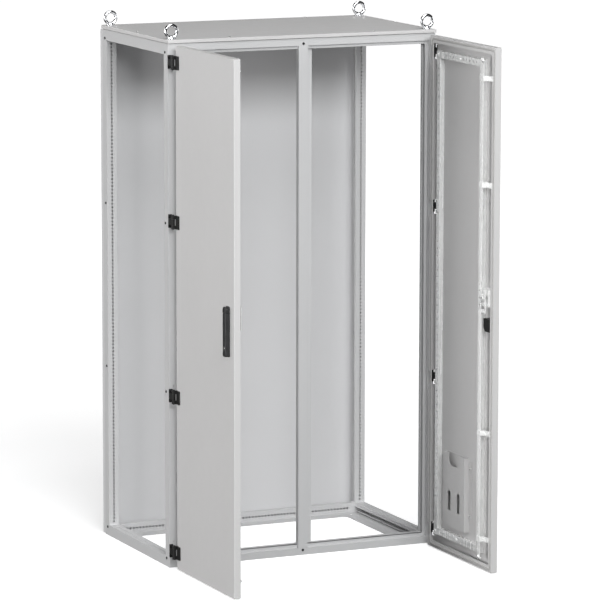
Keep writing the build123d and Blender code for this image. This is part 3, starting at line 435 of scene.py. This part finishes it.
def rounded_loop(low, high, radius, step):
    """Points and outward directions round a rectangle with rounded corners, in the plane."""
    stations = []
    corners = (((high[0] - radius, high[1] - radius), 0), ((low[0] + radius, high[1] - radius), 90),
               ((low[0] + radius, low[1] + radius), 180), ((high[0] - radius, low[1] + radius), 270))
    for i, (centre, start) in enumerate(corners):
        for turn in range(0, 91, CORNER_TURN_STEP):
            angle = math.radians(start + turn)
            out = (math.cos(angle), math.sin(angle))
            stations.append(((centre[0] + radius * out[0], centre[1] + radius * out[1]), out))
        here = stations[-1]
        centre_next, start_next = corners[(i + 1) % 4]
        angle = math.radians(start_next)
        goal = (centre_next[0] + radius * math.cos(angle), centre_next[1] + radius * math.sin(angle))
        length = math.dist(here[0], goal)
        count = int(length / step)
        for n in range(1, count):
            share = n / count
            point = tuple(a + (b - a) * share for a, b in zip(here[0], goal))
            stations.append((point, here[1]))
    return stations


def gasket(node, body, axis, facing, finish):
    """Foamed-in-place bead over a CAD strip: crowned, rounded at the corners and a little uneven."""
    low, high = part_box(node)
    plane = [i for i in range(3) if i != axis]
    base = low[axis] if facing > 0 else high[axis]
    height = high[axis] - low[axis]
    inset = GASKET_BAND / 2
    corner_low = [low[i] + inset for i in plane]
    corner_high = [high[i] - inset for i in plane]
    sections = []
    for point, out in rounded_loop(corner_low, corner_high, GASKET_CORNER, GASKET_STEP):
        place = (point[0], point[1], base)
        width = inset * (GASKET_FULLNESS + GASKET_WIDTH_WOBBLE * wobble(place, 3.0, 45.0))
        crown = height * (GASKET_RISE + GASKET_RISE_WOBBLE * wobble(place, 9.0, 70.0))
        profile = [(-1.0, 0.0)]
        for n in range(GASKET_POINTS):
            across = 2 * n / (GASKET_POINTS - 1) - 1
            drop = GASKET_SHOULDER_DROP * abs(across) ** GASKET_SHOULDER_POWER
            profile.append((across, 1 - drop))
        profile.append((1.0, 0.0))
        ring = []
        for across, rise in profile:
            spot = [0.0, 0.0, 0.0]
            spot[plane[0]] = point[0] + out[0] * across * width
            spot[plane[1]] = point[1] + out[1] * across * width
            spot[axis] = base + facing * rise * crown
            ring.append(tuple(spot))
        sections.append(ring)
    vertices, faces = loft(sections, closed=True)
    bead = piece(node + "_bead", vertices, faces, body, finish)
    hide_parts(node)


def lathe(profile, segments=48):
    """Sections of a turned solid about Z, from (radius, height) pairs."""
    return [[(r * math.cos(a), r * math.sin(a), z)
             for a in (2 * math.pi * n / segments for n in range(segments))] for r, z in profile]


def eye_ring(centre, radius, section):
    """Sections of the forged ring in the XZ plane, thicker towards its foot."""
    sections = []
    for n in range(EYE_RING_STEPS):
        turn = 2 * math.pi * n / EYE_RING_STEPS
        foot = max(0.0, -math.sin(turn)) ** 2
        thick = section * (1 + EYE_FOOT_SWELL * foot)
        ring = []
        for m in range(EYE_SECTION_STEPS):
            around = 2 * math.pi * m / EYE_SECTION_STEPS
            reach = radius + section * math.cos(around)
            ring.append((reach * math.cos(turn), thick * math.sin(around), centre + reach * math.sin(turn)))
        sections.append(ring)
    return sections


def forged_eye_mesh(finish):
    """One lifting eye standing on z = 0: ring, flared neck and collar merged and smoothed."""
    neck = [(0.1 * MM, 0.0), (14.2 * MM, 0.0), (14.9 * MM, 0.8 * MM), (14.9 * MM, 2.7 * MM),
            (14.2 * MM, 3.5 * MM), (12.6 * MM, 3.8 * MM), (10.2 * MM, 4.9 * MM), (8.4 * MM, 6.8 * MM),
            (7.3 * MM, 9.2 * MM), (5.0 * MM, 10.6 * MM), (0.1 * MM, 11.0 * MM)]
    ring = eye_ring(EYE_CENTRE, EYE_RADIUS, EYE_SECTION)
    vertices, faces = combined([loft(lathe(neck)), loft(ring, closed=True)])
    mesh = bpy.data.meshes.new("lifting_eye")
    mesh.from_pydata(vertices, [], faces)
    face_outwards(mesh)
    return merged(mesh, EYE_VOXEL, EYE_SMOOTH_ROUNDS, finish)


def merged(mesh, voxel, rounds, finish):
    """The mesh's overlapping solids as one voxel-merged skin, smoothed a number of rounds."""
    maker = bpy.data.objects.new(mesh.name + "_maker", mesh)
    bpy.context.scene.collection.objects.link(maker)
    remesh = maker.modifiers.new("merge", "REMESH")
    remesh.mode = "VOXEL"
    remesh.voxel_size = voxel
    remesh.use_smooth_shade = True
    smooth = maker.modifiers.new("smooth", "SMOOTH")
    smooth.factor = 0.5
    smooth.iterations = rounds
    graph = bpy.context.evaluated_depsgraph_get()
    result = bpy.data.meshes.new_from_object(maker.evaluated_get(graph))
    bpy.data.objects.remove(maker)
    result.materials.clear()
    result.materials.append(finish)
    return result


def lifting_eyes(finish):
    """The four eyes on the roof's corners, all facing the front."""
    low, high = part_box("lifting_eyebolts")
    roof_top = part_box("roof_panel")[1][2]
    reach = EYE_RADIUS + EYE_SECTION
    mesh = forged_eye_mesh(finish)
    for name, x in (("left", low[0] + reach), ("right", high[0] - reach)):
        for depth, y in (("front", low[1] + EYE_COLLAR / 2), ("rear", high[1] - EYE_COLLAR / 2)):
            eye = bpy.data.objects.new(f"lifting_eye_{depth}_{name}", mesh)
            eye.location = (x, y, roof_top)
            bpy.context.scene.collection.objects.link(eye)
            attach(eye, "frame")
    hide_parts("lifting_eyebolts")


def weld_bead(start, end, out, up):
    """Sections of a rippled fillet bead from start to end in the corner between out and up."""
    start, end, out, up = Vector(start), Vector(end), Vector(out), Vector(up)
    length = (end - start).length
    count = int(length / WELD_STEP)
    sections = []
    for n in range(count + 1):
        along = length * n / count
        ripple = abs(math.sin(math.pi * along / WELD_RIPPLE))
        taper = min(1.0, WELD_END_SHARE + min(n, count - n) / WELD_END_STEPS)
        reach = WELD_LEG * taper * (0.86 + 0.14 * ripple + 0.05 * wobble(start, along * 900, 1.0))
        centre = start.lerp(end, n / count)
        ring = [centre - (out + up) * WELD_ROOT]
        for m in range(WELD_ARC_STEPS + 1):
            turn = math.pi / 2 * m / WELD_ARC_STEPS
            ring.append(centre + (out * math.cos(turn) + up * math.sin(turn)) * reach)
        sections.append([tuple(point) for point in ring])
    return sections


def weld_beads(finish):
    """Fillet welds where each side rail meets the post flanges, at the base and at the top."""
    beads = []
    for side in ("left", "right"):
        for level, sign_z in (("base", 1), ("top", -1)):
            low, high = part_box(f"{level}_rail_{side}")
            face_z = high[2] if sign_z > 0 else low[2]
            for y, sign_y in ((low[1], 1), (high[1], -1)):
                start = (low[0] + WELD_INSET, y, face_z)
                end = (high[0] - WELD_INSET, y, face_z)
                beads.append(loft(weld_bead(start, end, (0, sign_y, 0), (0, 0, sign_z))))
    vertices, faces = combined(beads)
    piece("frame_weld_beads", vertices, faces, "frame", finish)


def make_pieces(finishes):
    """Every detailed piece; axes 0, 1 and 2 are X, Y and Z, and a gasket swells along its axis."""
    foam = finishes["gasket_foam"]
    for side, facing in (("left", 1), ("right", -1)):
        gasket(f"{side}_door_gasket", f"{side}_door", 0, facing, foam)
    gasket("rear_panel_gasket", "frame", 1, 1, foam)
    gasket("roof_gasket", "frame", 2, 1, foam)
    lifting_eyes(finishes["chrome"])
    weld_beads(finishes["frame_paint"])


# ---------------------------------------------------------------- stage
def make_floor():
    """A pale disc that glows towards its edge, so that it fades into the white backdrop."""
    mesh = bpy.data.meshes.new("floor")
    bm = bmesh.new()
    bmesh.ops.create_circle(bm, cap_ends=True, segments=96, radius=FLOOR_RADIUS)
    bm.to_mesh(mesh)
    bm.free()
    floor = bpy.data.objects.new("floor", mesh)
    bpy.context.scene.collection.objects.link(floor)
    f = Finish("pale_floor")
    f.colour(f.blend(f.span(f.noise(1.2, detail=4.0), 0.0, 1.0), shade(FLOOR_COLOUR, 0.995), FLOOR_COLOUR))
    distance = f.add("ShaderNodeVectorMath", operation="LENGTH")
    f.link(f.place, distance.inputs[0])
    glow = f.span(distance.outputs["Value"], NEAR_GLOW, FAR_GLOW, *GLOW_RADII)
    f.link(glow, f.shader.inputs["Emission Strength"])
    f.set(Roughness=0.9, Emission_Color=(1.0, 1.0, 1.0, 1.0))
    mesh.materials.append(f.material)
    floor.visible_diffuse = False
    floor.visible_glossy = False


def make_world():
    """Weak sky, a soft glow from below in place of floor bounce, and a white backdrop."""
    world = bpy.data.worlds.new("studio")
    world.use_nodes = True
    bpy.context.scene.world = world
    tree = world.node_tree
    tree.nodes.clear()
    output = tree.nodes.new("ShaderNodeOutputWorld")
    mix = tree.nodes.new("ShaderNodeMixShader")
    path = tree.nodes.new("ShaderNodeLightPath")
    tree.links.new(path.outputs["Is Camera Ray"], mix.inputs[0])
    glow = tree.nodes.new("ShaderNodeBackground")
    backdrop = tree.nodes.new("ShaderNodeBackground")
    for socket, background in ((1, glow), (2, backdrop)):
        background.inputs["Color"].default_value = (1.0, 1.0, 1.0, 1.0)
        tree.links.new(background.outputs["Background"], mix.inputs[socket])
    backdrop.inputs["Strength"].default_value = BACKDROP
    direction = tree.nodes.new("ShaderNodeTexCoord")
    parts = tree.nodes.new("ShaderNodeSeparateXYZ")
    ramp = tree.nodes.new("ShaderNodeMapRange")
    ramp.inputs["From Min"].default_value = -0.05
    ramp.inputs["From Max"].default_value = 0.05
    ramp.inputs["To Min"].default_value = BOUNCE
    ramp.inputs["To Max"].default_value = SKY
    tree.links.new(direction.outputs["Generated"], parts.inputs["Vector"])
    tree.links.new(parts.outputs["Z"], ramp.inputs["Value"])
    tree.links.new(ramp.outputs["Result"], glow.inputs["Strength"])
    tree.links.new(mix.outputs["Shader"], output.inputs["Surface"])


def make_lights():
    """Soft rectangular lights, each turned to its aim."""
    for name, (place, aim, width, height, power, colour) in LIGHTS.items():
        data = bpy.data.lights.new(name, "AREA")
        data.shape = "RECTANGLE"
        data.size = width
        data.size_y = height
        data.energy = power
        data.color = colour
        light = bpy.data.objects.new(name, data)
        light.location = place
        light.rotation_euler = (Vector(aim) - Vector(place)).to_track_quat("-Z", "Y").to_euler()
        bpy.context.scene.collection.objects.link(light)


def make_camera():
    """A long lens in front and to the left, looking a little down; azimuth runs from +Y to +X."""
    data = bpy.data.cameras.new("camera")
    data.lens = CAMERA_LENS
    data.sensor_width = SENSOR_WIDTH
    data.clip_start = 0.1
    data.clip_end = 400.0
    camera = bpy.data.objects.new("camera", data)
    azimuth = math.radians(CAMERA_AZIMUTH)
    elevation = math.radians(CAMERA_ELEVATION)
    forward = Vector((math.sin(azimuth) * math.cos(elevation), math.cos(azimuth) * math.cos(elevation),
                      math.sin(elevation)))
    turn = forward.to_track_quat("-Z", "Y").to_matrix().to_4x4()
    roll = Matrix.Rotation(math.radians(CAMERA_ROLL), 4, "Z")
    camera.matrix_world = Matrix.Translation(CAMERA_PLACE) @ turn @ roll
    bpy.context.scene.collection.objects.link(camera)
    bpy.context.scene.camera = camera


def set_colour_management():
    view = bpy.context.scene.view_settings
    view.view_transform = "Standard"
    view.look = "None"
    view.exposure = 0.0
    view.gamma = 1.0


FINISHES = make_finishes()
finish_frame(FINISHES)
make_pieces(FINISHES)
make_floor()
make_world()
make_lights()
make_camera()
set_colour_management()
